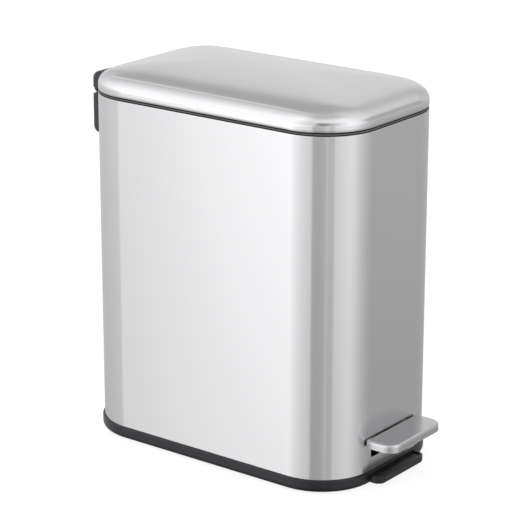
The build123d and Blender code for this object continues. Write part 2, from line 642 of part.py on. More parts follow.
with BuildPart() as pedal_pad:
    extrude(pedal_plan(PEDAL_ROUND + PAD_PLAY, PEDAL_BACK - PAD_SHORT),
            amount=PEDAL_SKIRT - PEDAL_SHEET)
    extrude(pedal_plan(PEDAL_ROUND + PAD_PLAY + PAD_WALL, PEDAL_BACK + 1),
            amount=TONGUE_TOP - PEDAL_TOP + PEDAL_SKIRT, mode=Mode.SUBTRACT)
    with BuildSketch(level(TONGUE_LOW)):
        with Locations((-RIVET_X, RIVET_Y), (RIVET_X, RIVET_Y)):
            Circle(SCREW_R)
    extrude(amount=PEDAL_SKIRT, mode=Mode.SUBTRACT)
pedal_pad.part.label = "pedal_pad"

with BuildPart() as pedal_rivets:
    with BuildSketch(level(TONGUE_LOW - RIVET_HEAD)):
        with Locations((-RIVET_X, RIVET_Y), (RIVET_X, RIVET_Y)):
            Circle(RIVET_HEAD_R)
    extrude(amount=RIVET_HEAD)
    with BuildSketch(level(TONGUE_LOW)):
        with Locations((-RIVET_X, RIVET_Y), (RIVET_X, RIVET_Y)):
            Circle(SCREW_R)
    extrude(amount=PEDAL_TOP - PEDAL_SHEET - TONGUE_LOW)
pedal_rivets.part.label = "pedal_rivets"

# ================= pivot of the lever =================
CLAMP_TOP = 34.0
PIVOT_OVER = 1.0                 # the pin stands out of the towers by this much
CLAMP_SCREW_IN = 10.0
CLAMP_HEAD_R = 2.8
CLAMP_HEAD = 1.8
STOP_Y = -96.0
STOP_LONG = 10.0
STOP_HIGH = 12.2
STOP_CORNER = 2.0

with BuildPart() as pivot_pin:
    with BuildSketch(side(-TOWER_X - TOWER_W / 2 - PIVOT_OVER)):
        with Locations((PIVOT_Y, PIVOT_Z)):
            Circle(PIVOT_R)
    extrude(amount=2 * (TOWER_X + PIVOT_OVER) + TOWER_W)
pivot_pin.part.label = "pivot_pin"

with BuildPart() as pivot_clamps:
    with BuildSketch(level(PIVOT_Z)):
        with Locations((-TOWER_X, PIVOT_Y), (TOWER_X, PIVOT_Y)):
            Rectangle(TOWER_W, TOWER_L)
    extrude(amount=CLAMP_TOP - PIVOT_Z)
    with BuildSketch(side(0)):
        with Locations((PIVOT_Y, PIVOT_Z)):
            Circle(PIVOT_R)
    extrude(amount=TOWER_X + TOWER_W, both=True, mode=Mode.SUBTRACT)
    with BuildSketch(level(PIVOT_Z)):
        with Locations((0, PIVOT_Y)):
            with GridLocations(2 * TOWER_X, 2 * CLAMP_SCREW_Y, 2, 2):
                Circle(SCREW_R)
    extrude(amount=CLAMP_TOP - PIVOT_Z, mode=Mode.SUBTRACT)
pivot_clamps.part.label = "pivot_clamps"

with BuildPart() as pivot_clamp_screws:
    with BuildSketch(level(PIVOT_Z - CLAMP_SCREW_IN)):
        with Locations((0, PIVOT_Y)):
            with GridLocations(2 * TOWER_X, 2 * CLAMP_SCREW_Y, 2, 2):
                Circle(SCREW_R)
    extrude(amount=CLAMP_TOP - PIVOT_Z + CLAMP_SCREW_IN)
    with BuildSketch(level(CLAMP_TOP)):
        with Locations((0, PIVOT_Y)):
            with GridLocations(2 * TOWER_X, 2 * CLAMP_SCREW_Y, 2, 2):
                Circle(CLAMP_HEAD_R)
    extrude(amount=CLAMP_HEAD)
pivot_clamp_screws.part.label = "pivot_clamp_screws"

with BuildPart() as lever_stop:
    with BuildSketch(level(FLOOR_TOP)):
        with Locations((0, STOP_Y)):
            RectangleRounded(2 * LEVER_HALF, STOP_LONG, STOP_CORNER)
    extrude(amount=STOP_HIGH)
lever_stop.part.label = "lever_stop"

# ================= inner bucket =================
BUCKET_MID = -4.25               # the bucket sits forward, to clear the push rod
BUCKET_HALF = 62.5
BUCKET_LONG = 216.5
BUCKET_DRAFT = 5.5               # the wall leans in by this much at the bottom
BUCKET_LOW = 46.0
BUCKET_WALL = 1.5
BUCKET_TOP = LEDGE_TOP + 2.0
BUCKET_CORNER = 33.0
BUCKET_ROUND = 4.0               # lower edge
BUCKET_LIP = 4.5                 # rim outside the bucket's mouth
BAIL_Z = 258.0
BAIL_R = 1.75
BAIL_REACH = 58.0
BAIL_HALF = 57.5
BAIL_END = 63.4
BAIL_BEND = 3.5                  # bends of the wire at its two ends
BAIL_CORNER = 22.0
BAIL_PLAY = 0.1
GRIP_R = 4.5
GRIP_HALF = 28.0
GRIP_ROUND = 1.5


def bucket_section(height, inset):
    """Level outline of the bucket, with the draft that its height gives it."""
    lean = BUCKET_DRAFT * (BUCKET_TOP - height) / (BUCKET_TOP - BUCKET_LOW) + inset
    with BuildSketch(level(height)) as section:
        with Locations((0, BUCKET_MID)):
            RectangleRounded(2 * (BUCKET_HALF - lean), BUCKET_LONG - 2 * lean, BUCKET_CORNER - lean)
    return section.sketch


with BuildPart() as bucket:
    loft([bucket_section(BUCKET_LOW, 0), bucket_section(BUCKET_TOP, 0)], ruled=True)
    fillet(bucket.edges().group_by(Axis.Z)[0], radius=BUCKET_ROUND)
    with BuildSketch(level(LEDGE_TOP)):
        with Locations((0, BUCKET_MID)):
            RectangleRounded(2 * (BUCKET_HALF + BUCKET_LIP), BUCKET_LONG + 2 * BUCKET_LIP,
                             BUCKET_CORNER + BUCKET_LIP)
    extrude(amount=BUCKET_TOP - LEDGE_TOP)
    loft([bucket_section(BUCKET_LOW + BUCKET_WALL, BUCKET_WALL),
          bucket_section(BUCKET_TOP, BUCKET_WALL)], ruled=True, mode=Mode.SUBTRACT)
    with BuildSketch(Plane(origin=(0, CENTRE_Y + BUCKET_MID, BAIL_Z), z_dir=(1, 0, 0))):
        Circle(BAIL_R + BAIL_PLAY)
    extrude(amount=BUCKET_HALF + 2, both=True, mode=Mode.SUBTRACT)
bucket.part.label = "bucket"

with BuildPart() as bucket_handle:
    with BuildLine(level(BAIL_Z)) as bail_line:
        FilletPolyline((-BAIL_END, BUCKET_MID), (-BAIL_HALF, BUCKET_MID),
                       (-BAIL_HALF, BUCKET_MID - BAIL_REACH), (BAIL_HALF, BUCKET_MID - BAIL_REACH),
                       (BAIL_HALF, BUCKET_MID), (BAIL_END, BUCKET_MID),
                       radius=(BAIL_BEND, BAIL_CORNER, BAIL_CORNER, BAIL_BEND))
    with BuildSketch(Plane(origin=bail_line.line @ 0, z_dir=bail_line.line % 0)):
        Circle(BAIL_R)
    sweep(path=bail_line.line)
bucket_handle.part.label = "bucket_handle"

with BuildPart() as handle_grip:
    with BuildSketch(side(-GRIP_HALF)):
        with Locations((BUCKET_MID - BAIL_REACH, BAIL_Z)):
            Circle(GRIP_R)
            Circle(BAIL_R, mode=Mode.SUBTRACT)
    extrude(amount=2 * GRIP_HALF)
    outer_rims = handle_grip.edges().filter_by(GeomType.CIRCLE).filter_by(
        lambda edge: edge.radius > (GRIP_R + BAIL_R) / 2)
    fillet(outer_rims, radius=GRIP_ROUND)
handle_grip.part.label = "handle_grip"

# ================= hand over =================
PIECES = (
    base, rubber_feet, body_shell, top_collar, hinge_cover, hinge_cover_screws, hinge_pin,
    rod_guides, pivot_pin, pivot_clamps, pivot_clamp_screws, lever_stop, lid_shell, lid_liner,
    lid_bumpers, lid_hinge_block, lid_hinge_screws, crank_pin, push_rod, pedal_lever, lever_pin,
    pedal_cover, pedal_pad, pedal_rivets, bucket, bucket_handle, handle_grip,
)
os.makedirs("parts", exist_ok=True)
for piece in PIECES:
    export_step(piece.part, f"parts/{piece.part.label}.step")
print("pieces", len(PIECES))
print("lid swing", LID_SWING, "lever swing", round(LEVER_SWING, 3), "rod travel", round(ROD_TRAVEL, 3))
print("lever ratio", round(LEVER_SWING / LID_SWING, 5),
      "rod ratio m/rad", round(ROD_TRAVEL / 1000 / radians(LID_SWING), 6))
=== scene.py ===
# %% [markdown]
# # A pedal trash can in brushed steel
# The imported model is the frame: every plastic part, pin and screw of the can is already in it,
# in metres, and stays where it is. This lesson lights it, gives each part its finish, and makes
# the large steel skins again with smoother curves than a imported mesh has.

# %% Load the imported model
import json
from math import cos, degrees, pi, radians, sin

import bmesh
import bpy
from mathutils import Matrix, Vector


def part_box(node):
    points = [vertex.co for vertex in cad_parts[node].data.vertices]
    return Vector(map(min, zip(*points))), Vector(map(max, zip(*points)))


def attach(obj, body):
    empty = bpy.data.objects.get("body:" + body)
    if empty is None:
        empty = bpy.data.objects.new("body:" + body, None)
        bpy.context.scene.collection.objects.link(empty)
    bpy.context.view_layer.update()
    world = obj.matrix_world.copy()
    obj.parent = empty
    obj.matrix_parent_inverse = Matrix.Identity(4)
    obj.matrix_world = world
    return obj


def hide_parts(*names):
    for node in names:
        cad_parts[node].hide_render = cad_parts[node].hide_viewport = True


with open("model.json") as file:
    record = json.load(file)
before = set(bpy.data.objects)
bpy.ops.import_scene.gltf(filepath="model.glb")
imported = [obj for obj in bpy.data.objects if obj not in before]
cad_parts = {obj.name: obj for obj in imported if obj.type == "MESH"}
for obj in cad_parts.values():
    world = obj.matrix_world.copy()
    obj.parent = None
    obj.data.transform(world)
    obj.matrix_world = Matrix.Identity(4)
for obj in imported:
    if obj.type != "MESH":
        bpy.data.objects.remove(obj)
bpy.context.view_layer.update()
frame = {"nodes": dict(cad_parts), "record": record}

nodes = frame["nodes"]
MM = 0.001

# %% [markdown]
# ## Camera
# A product shot of a can this size is taken from about 1.7 m with a long lens, so that its
# upright edges stay nearly parallel. The camera is placed by angles round a point inside the
# can: a stranger can then turn the view without guessing at coordinates.

# %% Place the camera
AIM = Vector((-0.0003, 0.0065, 0.14365))
CAMERA_TURN = radians(52.73)     # from the pedal side towards the can's left
CAMERA_RISE = radians(17.9)
CAMERA_AWAY = 1.7035
CAMERA_ROLL = 0.0013
LENS = 153.37

toward_camera = Vector((-sin(CAMERA_TURN) * cos(CAMERA_RISE),
                        -cos(CAMERA_TURN) * cos(CAMERA_RISE), sin(CAMERA_RISE)))
camera = bpy.data.objects.new("camera", bpy.data.cameras.new("camera"))
bpy.context.scene.collection.objects.link(camera)
camera.data.lens = LENS
camera.data.sensor_width = 36.0
camera.data.clip_start = 0.05
look = (-toward_camera).to_track_quat("-Z", "Y").to_matrix().to_4x4()
camera.matrix_world = (Matrix.Translation(AIM + toward_camera * CAMERA_AWAY) @ look
                       @ Matrix.Rotation(CAMERA_ROLL, 4, "Z"))
bpy.context.scene.camera = camera
print("camera", [round(v, 3) for v in camera.matrix_world.translation])

# %% [markdown]
# ## Shader maths in plain Python
# A finish is a sum of small patterns. Written as nodes by hand it is long and hard to read, so
# one class wraps an output socket and gives it Python's operators: each one adds a Math node.
# Every other node comes from one method of the node tree's wrapper.


# %% Wrap a socket, and a node tree
class Value:
    """A number that a shader works out, with Python's operators."""

    def __init__(self, tree, socket):
        self.tree = tree
        self.socket = socket

    def maths(self, operation, left, right=0.0):
        return self.tree.make("ShaderNodeMath", {"operation": operation}, {0: left, 1: right})

    def __add__(self, other):
        return self.maths("ADD", self, other)

    def __radd__(self, other):
        return self.maths("ADD", other, self)

    def __sub__(self, other):
        return self.maths("SUBTRACT", self, other)

    def __rsub__(self, other):
        return self.maths("SUBTRACT", other, self)

    def __mul__(self, other):
        return self.maths("MULTIPLY", self, other)

    def __rmul__(self, other):
        return self.maths("MULTIPLY", other, self)

    def __truediv__(self, other):
        return self.maths("DIVIDE", self, other)

    def __rtruediv__(self, other):
        return self.maths("DIVIDE", other, self)

    def step(self, low, high):
        """0 below low, 1 above high, and a soft rise between them."""
        return self.tree.make("ShaderNodeMapRange", {"interpolation_type": "SMOOTHSTEP"},
                              {0: self, 1: low, 2: high})


class Tree:
    """The nodes of one material or of the world."""

    def __init__(self, owner, output):
        owner.use_nodes = True
        self.nodes = owner.node_tree.nodes
        self.links = owner.node_tree.links
        self.nodes.clear()
        self.output = self.nodes.new(output)

    def make(self, kind, settings=None, inputs=None, output=0):
        """A node of any kind: its settings first, then the values or links of its sockets."""
        node = self.nodes.new(kind)
        for name, setting in (settings or {}).items():
            if name == "stops":
                self.set_stops(node.color_ramp, setting)
            else:
                setattr(node, name, setting)
        for name, source in (inputs or {}).items():
            if isinstance(source, Value):
                self.links.new(source.socket, node.inputs[name])
            else:
                node.inputs[name].default_value = source
        return Value(self, node.outputs[output])

    def set_stops(self, ramp, stops):
        """Sets a ramp's stops, each a place from 0 to 1 and a grey or a colour."""
        while len(ramp.elements) < len(stops):
            ramp.elements.new(0.5)
        for element, (place, colour) in zip(ramp.elements, sorted(stops)):
            element.position = place
            element.color = colour if isinstance(colour, tuple) else (colour, colour, colour, 1)

    def mix(self, factor, first, second, blend="MIX"):
        """A colour between two others."""
        return self.make("ShaderNodeMix", {"data_type": "RGBA", "blend_type": blend},
                         {0: factor, 6: first, 7: second}, output=2)

    def noise(self, place, scale, detail=3.0, rough=0.5):
        return self.make("ShaderNodeTexNoise", {"noise_dimensions": "3D"},
                         {"Vector": place, "Scale": scale, "Detail": detail, "Roughness": rough})

    def stretched(self, scale):
        """Object coordinates, scaled by a different amount along each axis."""
        place = self.make("ShaderNodeTexCoord", output=3)
        return self.make("ShaderNodeMapping", {}, {"Vector": place, "Scale": scale})

    def finish(self, source, socket="Surface"):
        self.links.new(source.socket, self.output.inputs[socket])


# %% [markdown]
# ## Studio
# Metal shows what stands round it, so its lighting is a room and not a lamp. The room here is
# the world: a ring of pale cards and dark gaps that the upright walls look into, two higher
# rings for the domed lid, and a grey sky. Each ring is a ramp over the compass, so a card is a
# few stops, its edges stand upright, and close stops make a hard edge.

# %% Cards of the three rings, as azimuth in degrees from +X and brightness
LOW_RING = (
    (-180, 1.00), (-168.1, 0.92), (-165.7, 0.56), (-150, 0.60), (-140, 0.68), (-137.5, 0.86),
    (-135, 0.67), (-125, 0.70), (-123.0, 0.92), (-108, 0.99), (-92, 1.06), (-83, 0.98),
    (-70, 0.80), (-58, 0.66), (-45, 0.57), (-33, 0.52), (5, 0.51), (12, 0.53), (30, 0.57),
    (60, 0.66), (85, 0.71), (108, 0.78), (134, 0.84), (139.0, 0.95),
    (140.6, 1.24), (143.5, 1.55), (147, 1.50), (156, 1.30), (168, 1.12), (180, 1.00),
)
MIDDLE_RING = (
    (-180, 1.10), (-165, 0.98), (-156, 0.45), (-148, 0.36), (-138, 0.50), (-118, 0.95),
    (-98, 1.36), (-84, 1.42), (-62, 1.05), (-50, 0.64), (-26, 0.58), (-14, 0.78), (0, 0.74),
    (12, 0.68), (17, 0.70), (24, 0.88), (36, 0.88), (46, 0.84), (52, 0.68), (62, 0.78),
    (80, 1.02), (110, 1.36), (134, 1.50), (150, 1.50), (180, 1.10),
)
HIGH_RING = (
    (-180, 1.10), (-153, 1.08), (-120, 1.20), (-86, 1.40), (-54, 1.17), (-10, 1.00),
    (8, 0.84), (20, 0.64), (36, 0.57), (56, 0.57), (63.5, 0.64), (65, 1.10), (67, 1.10),
    (68.5, 0.70), (80, 0.95), (106, 1.24), (130, 1.50), (150, 1.50), (180, 1.10),
)
SKY = 0.74                       # straight up
LOW_TO_MIDDLE = (-8.0, 12.0)     # elevations over which a ring hands over to the next
MIDDLE_TO_HIGH = (27.0, 41.0)
HIGH_TO_SKY = (56.0, 82.0)
# how bright the low ring is at each elevation: its cards are lit from above
LIFT = ((-90, 0.12), (-55, 0.32), (-32, 0.66), (-18, 1.0), (-8, 1.24), (10, 1.5), (90, 1.5))
HEADROOM = 2.0                   # the room is mixed at half its brightness, then doubled

# %% Turn a direction into a compass bearing and a height
world = bpy.data.worlds.new("studio")
bpy.context.scene.world = world
air = Tree(world, "ShaderNodeOutputWorld")
direction = air.make("ShaderNodeTexCoord", output=0)
parts_of = {axis: air.make("ShaderNodeSeparateXYZ", {}, {0: direction}, output=axis)
            for axis in range(3)}
east, north, up = parts_of[0], parts_of[1], parts_of[2]
compass = east.maths("ARCTAN2", north, east) / (2 * pi) + 0.5
rise = up.maths("ARCSINE", up) * degrees(1)


# %% Hang the rings in the world
def grey(level, tint=(1, 1, 1)):
    """A colour of one brightness with a slight tint."""
    return (level * tint[0], level * tint[1], level * tint[2], 1)


def ring(cards, name):
    """A ramp over the compass, from cards given as azimuth and brightness."""
    stops = [((azimuth + 180) / 360, brightness) for azimuth, brightness in cards]
    ramp = air.make("ShaderNodeValToRGB", {"stops": stops}, {0: compass})
    print(name, "ring of", len(cards), "stops")
    return ramp


low_ring = ring(LOW_RING, "lower")
middle_ring = ring(MIDDLE_RING, "middle")
high_ring = ring(HIGH_RING, "upper")
lift = air.make("ShaderNodeValToRGB",
                {"stops": [((height + 90) / 180, share / HEADROOM) for height, share in LIFT]},
                {0: rise / 180 + 0.5})
lifted = air.mix(1.0, low_ring, lift, "MULTIPLY")
halved = air.mix(1.0, middle_ring, grey(1 / HEADROOM), "MULTIPLY")
halved_high = air.mix(1.0, high_ring, grey(1 / HEADROOM), "MULTIPLY")
room = air.mix(rise.step(*LOW_TO_MIDDLE), lifted, halved)
room = air.mix(rise.step(*MIDDLE_TO_HIGH), room, halved_high)
room = air.mix(rise.step(*HIGH_TO_SKY), room, grey(SKY / HEADROOM))
light = air.make("ShaderNodeBackground", {}, {"Color": room, "Strength": HEADROOM})
white = air.make("ShaderNodeBackground", {}, {"Color": (1, 1, 1, 1), "Strength": 1.0})
seen = air.make("ShaderNodeLightPath", output=0)
air.finish(air.make("ShaderNodeMixShader", {}, {0: seen, 1: light, 2: white}))
print("world", len(air.nodes), "shader nodes")

# %% [markdown]
# The floor is white and nearly shadowless on purpose, as in a catalogue. Most of its white is
# its own glow. The rest is diffuse light, and the can keeps some of that off, which makes the
# faint dark where it stands. The metal doesn't see it: the world's own lower half is the floor
# that it mirrors.

# %% Lay the floor
FLOOR_HALF = 3.0
FLOOR_GLOW = 0.86
FLOOR_PAPER = 0.22
sweep = bmesh.new()
bmesh.ops.create_grid(sweep, x_segments=1, y_segments=1, size=FLOOR_HALF)
floor_mesh = bpy.data.meshes.new("floor")
sweep.to_mesh(floor_mesh)
sweep.free()
floor = bpy.data.objects.new("floor", floor_mesh)
bpy.context.scene.collection.objects.link(floor)
floor.visible_glossy = False
paper = bpy.data.materials.new("white_paper")
sheet_tree = Tree(paper, "ShaderNodeOutputMaterial")
glow = sheet_tree.make("ShaderNodeEmission", {}, {"Strength": FLOOR_GLOW})
matt = sheet_tree.make("ShaderNodeBsdfDiffuse", {},
                       {"Color": grey(FLOOR_PAPER)})
sheet_tree.finish(sheet_tree.make("ShaderNodeAddShader", {}, {0: glow, 1: matt}))
floor_mesh.materials.append(paper)
bpy.context.scene.view_settings.view_transform = "Standard"
print("floor", 2 * FLOOR_HALF, "m across")


# %% [markdown]
# ## Finishes
# Every finish starts from the same Principled shader and adds what its making leaves on it.
# The patterns read Object coordinates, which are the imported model's own frame here, so a
# millimetre in a pattern is a millimetre on the can.


# %% Start a finish
def finish(name, colour, roughness, bump=None, metallic=0.0, **constants):
    """A material from a function per varying socket; constants are plain socket values."""
    material = bpy.data.materials.new(name)
    tree = Tree(material, "ShaderNodeOutputMaterial")
    inputs = {"Base Color": colour(tree), "Roughness": roughness(tree), "Metallic": metallic}
    if bump:
        height, strength, distance = bump(tree)
        inputs["Normal"] = tree.make("ShaderNodeBump", {}, {"Height": height,
                                     "Strength": strength, "Distance": distance})
    inputs.update({key.replace("_", " "): value for key, value in constants.items()})
    tree.finish(tree.make("ShaderNodeBsdfPrincipled", {}, inputs))
    print("finish", name)
    return material


# %% [markdown]
# ### Brushed steel
# An abrasive belt leaves hairlines that run level round the can. They are far longer than they
# are high, so noise is squeezed hard along Z. Hairlines spread a reflection across themselves:
# the Principled shader's anisotropy does that, turned by a quarter so that the spread is
# upright. The lid and the pedal are polished after pressing, so they spread light alike in
# all directions. The pedal's steel is a little rougher than the body's, and its colour is
# painted darker as shade.

# %% Mix the steels
STEEL = 0.66
# the pedal's steel colour, darker than the body's: painted shade
PEDAL_SHADED_STEEL = 0.57
STEEL_RANGE = 0.025              # how far the colour strays to either side
HAIR_FINE = (9.0, 9.0, 3200.0)   # cycles per metre along each axis
HAIR_COARSE = (3.0, 3.0, 700.0)
SMUDGE = (9.0, 9.0, 5.0)
HAIR_DEPTH = 0.04 * MM


def hairlines(tree):
    """Fine and coarse level scratches, 0 to 1."""
    return (tree.noise(tree.stretched(HAIR_FINE), 1.0, 2.0) * 0.6
            + tree.noise(tree.stretched(HAIR_COARSE), 1.0, 3.0) * 0.4)


def steel_colour(level):
    def colour(tree):
        cloud = tree.noise(tree.stretched(SMUDGE), 1.0, 2.0)
        return tree.mix(hairlines(tree) * 0.7 + cloud * 0.3,
                        grey(level - STEEL_RANGE, (0.975, 0.98, 1.0)),
                        grey(level + STEEL_RANGE, (0.99, 0.99, 1.0)))
    return colour


def steel_roughness(base):
    def roughness(tree):
        cloud = tree.noise(tree.stretched(SMUDGE), 1.0, 2.0)
        return base + (hairlines(tree) - 0.5) * 0.05 + (cloud - 0.5) * 0.03
    return roughness


def steel_bump(tree):
    return hairlines(tree), 0.08, HAIR_DEPTH


body_steel = finish("brushed_steel_body", steel_colour(STEEL), steel_roughness(0.19), steel_bump,
                    metallic=1.0, Anisotropic=0.98, Anisotropic_Rotation=0.25)
lid_steel = finish("brushed_steel_lid", steel_colour(STEEL), steel_roughness(0.12), steel_bump,
                   metallic=1.0, Anisotropic=0.0)
# the pedal's darker steel colour is painted shade
pedal_steel = finish("brushed_steel_pedal", steel_colour(PEDAL_SHADED_STEEL), steel_roughness(0.22),
                     steel_bump, metallic=1.0, Anisotropic=0.0)

# %% [markdown]
# ### Moulded plastics and rubber
# The black parts come from a spark-eroded mould, which leaves a fine even pebble, and they
# polish slightly where hands and shoes rub. The bucket and the collar are a dark grey
# polypropylene with faint flow lines. Rubber is matt, and dust stays on it.

# %% Mix the plastics and the rubber
PEBBLE = 1700.0                  # cycles per metre
PEBBLE_DEPTH = 0.1 * MM
FLOW = (14.0, 14.0, 90.0)
# between these heights the collar is painted paler, as light on its rim; above and below them it
# is painted near black, as shade in the seam's gaps
RING_LOW, RING_HIGH = 272.35 * MM, 273.3 * MM    # where the collar shows in the seam
RING_FADE = 0.25 * MM


def pebble(tree):
    return tree.noise(tree.stretched((1, 1, 1)), PEBBLE, 2.0, 0.6)


def plastic_bump(strength):
    def bump(tree):
        return pebble(tree), strength, PEBBLE_DEPTH
    return bump


def plastic_colour(dark, pale):
    def colour(tree):
        worn = tree.noise(tree.stretched((1, 1, 1)), 45.0, 4.0, 0.6).step(0.55, 0.8)
        return tree.mix(worn * 0.5 + pebble(tree) * 0.3, dark, pale)
    return colour


def plastic_roughness(base):
    def roughness(tree):
        worn = tree.noise(tree.stretched((1, 1, 1)), 30.0, 3.0, 0.6)
        return base + (worn - 0.5) * 0.14 + (pebble(tree) - 0.5) * 0.08
    return roughness


def flow_colour(tree):
    lines = tree.noise(tree.stretched(FLOW), 1.0, 4.0, 0.6)
    return tree.mix(lines, grey(0.045, (1, 1, 1.04)), grey(0.075, (1, 1, 1.03)))


def collar_painted_light_and_shade(tree):
    """Painted light on the ring in the seam, and painted shade, near black, in the gaps by it.
    """
    lines = tree.noise(tree.stretched(FLOW), 1.0, 4.0, 0.6)
    place = tree.make("ShaderNodeTexCoord", output=3)
    height = tree.make("ShaderNodeSeparateXYZ", {}, {0: place}, output=2)
    # 1 on the ring that is painted paler as light, 0 in the gaps that are painted near black as
    # shade
    painted_lit_ring = (height.step(RING_LOW, RING_LOW + RING_FADE)
                 * (1.0 - height.step(RING_HIGH, RING_HIGH + RING_FADE)))
    # grey(0.004) is painted shade in the gaps; the ring's paler grey is partly painted light
    return tree.mix(painted_lit_ring, grey(0.004), tree.mix(lines, grey(0.07), grey(0.11)))


def dusty_colour(tree):
    dust = tree.noise(tree.stretched((1, 1, 1)), 260.0, 4.0, 0.7).step(0.5, 0.75)
    return tree.mix(dust * 0.6, grey(0.028), grey(0.07, (1.0, 0.98, 0.94)))


black_plastic = finish("black_plastic",
                       plastic_colour(grey(0.006, (1, 1, 1.15)), grey(0.016, (1, 1, 1.1))),
                       plastic_roughness(0.32), plastic_bump(0.2), Specular_IOR_Level=0.45,
                       Specular_Tint=(0.9, 0.9, 1.0, 1))
hinge_plastic = finish("hinge_plastic",
                       plastic_colour(grey(0.022, (1, 1, 1.25)), grey(0.034, (1, 1, 1.2))),
                       plastic_roughness(0.45), plastic_bump(0.25), Specular_IOR_Level=0.45,
                       Specular_Tint=(0.88, 0.88, 1.0, 1))
# the collar's colour holds painted light on its ring and painted shade in the seam's gaps
collar_plastic = finish("collar_plastic", collar_painted_light_and_shade, plastic_roughness(0.5),
                        plastic_bump(0.15), Specular_IOR_Level=0.25)
grey_plastic = finish("grey_plastic", flow_colour, plastic_roughness(0.38), plastic_bump(0.15))
rubber = finish("rubber", dusty_colour, plastic_roughness(0.75), plastic_bump(0.5))

# %% [markdown]
# ### Zinc-plated steel
# Lever, rod, pins and screws are plated. The zinc has a slight blue cast, a fine grain and
# patches that took the plating differently.

# %% Mix the zinc
SPANGLE = 320.0                  # cells per metre
GRAIN = 2600.0                   # cycles per metre
GRAIN_DEPTH = 0.05 * MM


def zinc_colour(tree):
    grain = tree.make("ShaderNodeTexVoronoi", {"feature": "F1"},
                      {"Vector": tree.stretched((1, 1, 1)), "Scale": SPANGLE})
    return tree.mix(grain, grey(0.50, (0.98, 1.0, 1.03)), grey(0.62, (1.0, 1.0, 0.98)))


def zinc_roughness(tree):
    patches = tree.noise(tree.stretched((1, 1, 1)), 70.0, 3.0, 0.6)
    return 0.34 + (patches - 0.5) * 0.2


def zinc_bump(tree):
    return tree.noise(tree.stretched((1, 1, 1)), GRAIN, 2.0), 0.12, GRAIN_DEPTH


zinc_steel = finish("zinc_steel", zinc_colour, zinc_roughness, zinc_bump, metallic=1.0)


# %% [markdown]
# ## Skins of steel
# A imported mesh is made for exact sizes: its curves are flat facets, and a mirror-like sheet
# shows each one. The body and the lid are therefore pressed again here from one level
# outline, with the sizes read off the nodes that they replace.

# %% Read the can's sizes
CORNER = 43.6 * MM
SHEET = 0.6 * MM
SHARP = 35.0                     # degrees: a steeper edge than this shows as an edge
MERGE = 0.001 * MM               # points closer than this are one point
FLAT_WEIGHT = 100                # the most that a Weighted Normal modifier takes
body_low, body_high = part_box("body_shell")
lid_low, lid_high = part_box("lid_shell")
HALF_WIDE = body_high.x
HALF_DEEP = (body_high.y - body_low.y) / 2
MIDDLE_Y = (body_high.y + body_low.y) / 2
print("can half", round(HALF_WIDE, 4), round(HALF_DEEP, 4), "middle y", round(MIDDLE_Y, 4))


# %% Draw a rounded rectangle
def rounded_plate(shape, half_x, half_y, middle, height, radius, steps):
    """Adds a level face to a shape, with its corners rounded by a vertex bevel."""
    place = Matrix.Translation((0, middle, height)) @ Matrix.Diagonal((half_x, half_y, 1, 1))
    made = bmesh.ops.create_grid(shape, x_segments=1, y_segments=1, size=1.0, matrix=place)
    bmesh.ops.bevel(shape, geom=made["verts"], offset=radius, offset_type="OFFSET",
                    segments=steps, profile=0.5, affect="VERTICES", material=-1)


# %% Make an object of a shape
def piece(name, shape, material, body, replaced, sharp=SHARP):
    """Makes an object of a bmesh, smooth but for its sharp edges, riding on a body."""
    bmesh.ops.remove_doubles(shape, verts=shape.verts, dist=MERGE)
    bmesh.ops.recalc_face_normals(shape, faces=shape.faces)
    mesh = bpy.data.meshes.new(name)
    shape.to_mesh(mesh)
    shape.free()
    mesh.polygons.foreach_set("use_smooth", [True] * len(mesh.polygons))
    mesh.set_sharp_from_angle(angle=radians(sharp))
    mesh.materials.append(material)
    made = bpy.data.objects.new(name, mesh)
    bpy.context.scene.collection.objects.link(made)
    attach(made, body)
    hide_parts(replaced)
    print(name, len(mesh.polygons), "faces")
    return made


# %% Keep flat sides flat
def weighted(made):
    """Lets large faces rule the normals, so that a flat side stays flat up to its bend."""
    rule = made.modifiers.new("weighted", "WEIGHTED_NORMAL")
    rule.keep_sharp = True
    rule.weight = FLAT_WEIGHT


# %% [markdown]
# ### Body skin
# The body is one sheet bent round and welded, with its upper edge turned over so that it isn't
# sharp. An outline is extruded up, the wall gets its thickness, the two rims are beveled,
# and two cutters make the pedal's slot and the crank's window. The cutters are solids too,
# because a Boolean modifier needs a closed shape on both sides.

# %% Press the body
BODY_STEPS = 36
RIM_ROUND = 0.252 * MM
RIM_STEPS = 3
RIM_FOLD = 1.2                   # radians: the rims fold by a right angle, the wall by little
SLOT_HALF = 26.4 * MM
SLOT_LOW, SLOT_HIGH = 21.1 * MM, 36.6 * MM
SLOT_CORNER = 2.0 * MM
WINDOW_HALF = 6.5 * MM
WINDOW_LOW = 250.0 * MM          # it is open at the top
WINDOW_CORNER = 0.5 * MM

wall = bmesh.new()
rounded_plate(wall, HALF_WIDE, HALF_DEEP, MIDDLE_Y, body_low.z, CORNER, BODY_STEPS)
bmesh.ops.delete(wall, geom=list(wall.faces), context="FACES_ONLY")
raised = bmesh.ops.extrude_edge_only(wall, edges=list(wall.edges))
top_verts = [v for v in raised["geom"] if isinstance(v, bmesh.types.BMVert)]
bmesh.ops.translate(wall, verts=top_verts, vec=(0, 0, body_high.z - body_low.z))
bmesh.ops.recalc_face_normals(wall, faces=wall.faces)
bmesh.ops.solidify(wall, geom=list(wall.faces), thickness=SHEET)
rims = [e for e in wall.edges if abs(e.verts[0].co.z - e.verts[1].co.z) < MERGE
        and e.calc_face_angle(0) > RIM_FOLD]
bmesh.ops.bevel(wall, geom=rims, offset=RIM_ROUND, offset_type="OFFSET", segments=RIM_STEPS,
                profile=0.5, affect="EDGES", material=-1, clamp_overlap=True)
print("wall", len(wall.faces), "faces; box x", round(max(v.co.x for v in wall.verts), 4))


# %% Cut the slot and the window
REACH = 20.0 * MM                # a cutter's length, half of it on each side of the sheet
CUTTER_STEPS = 6


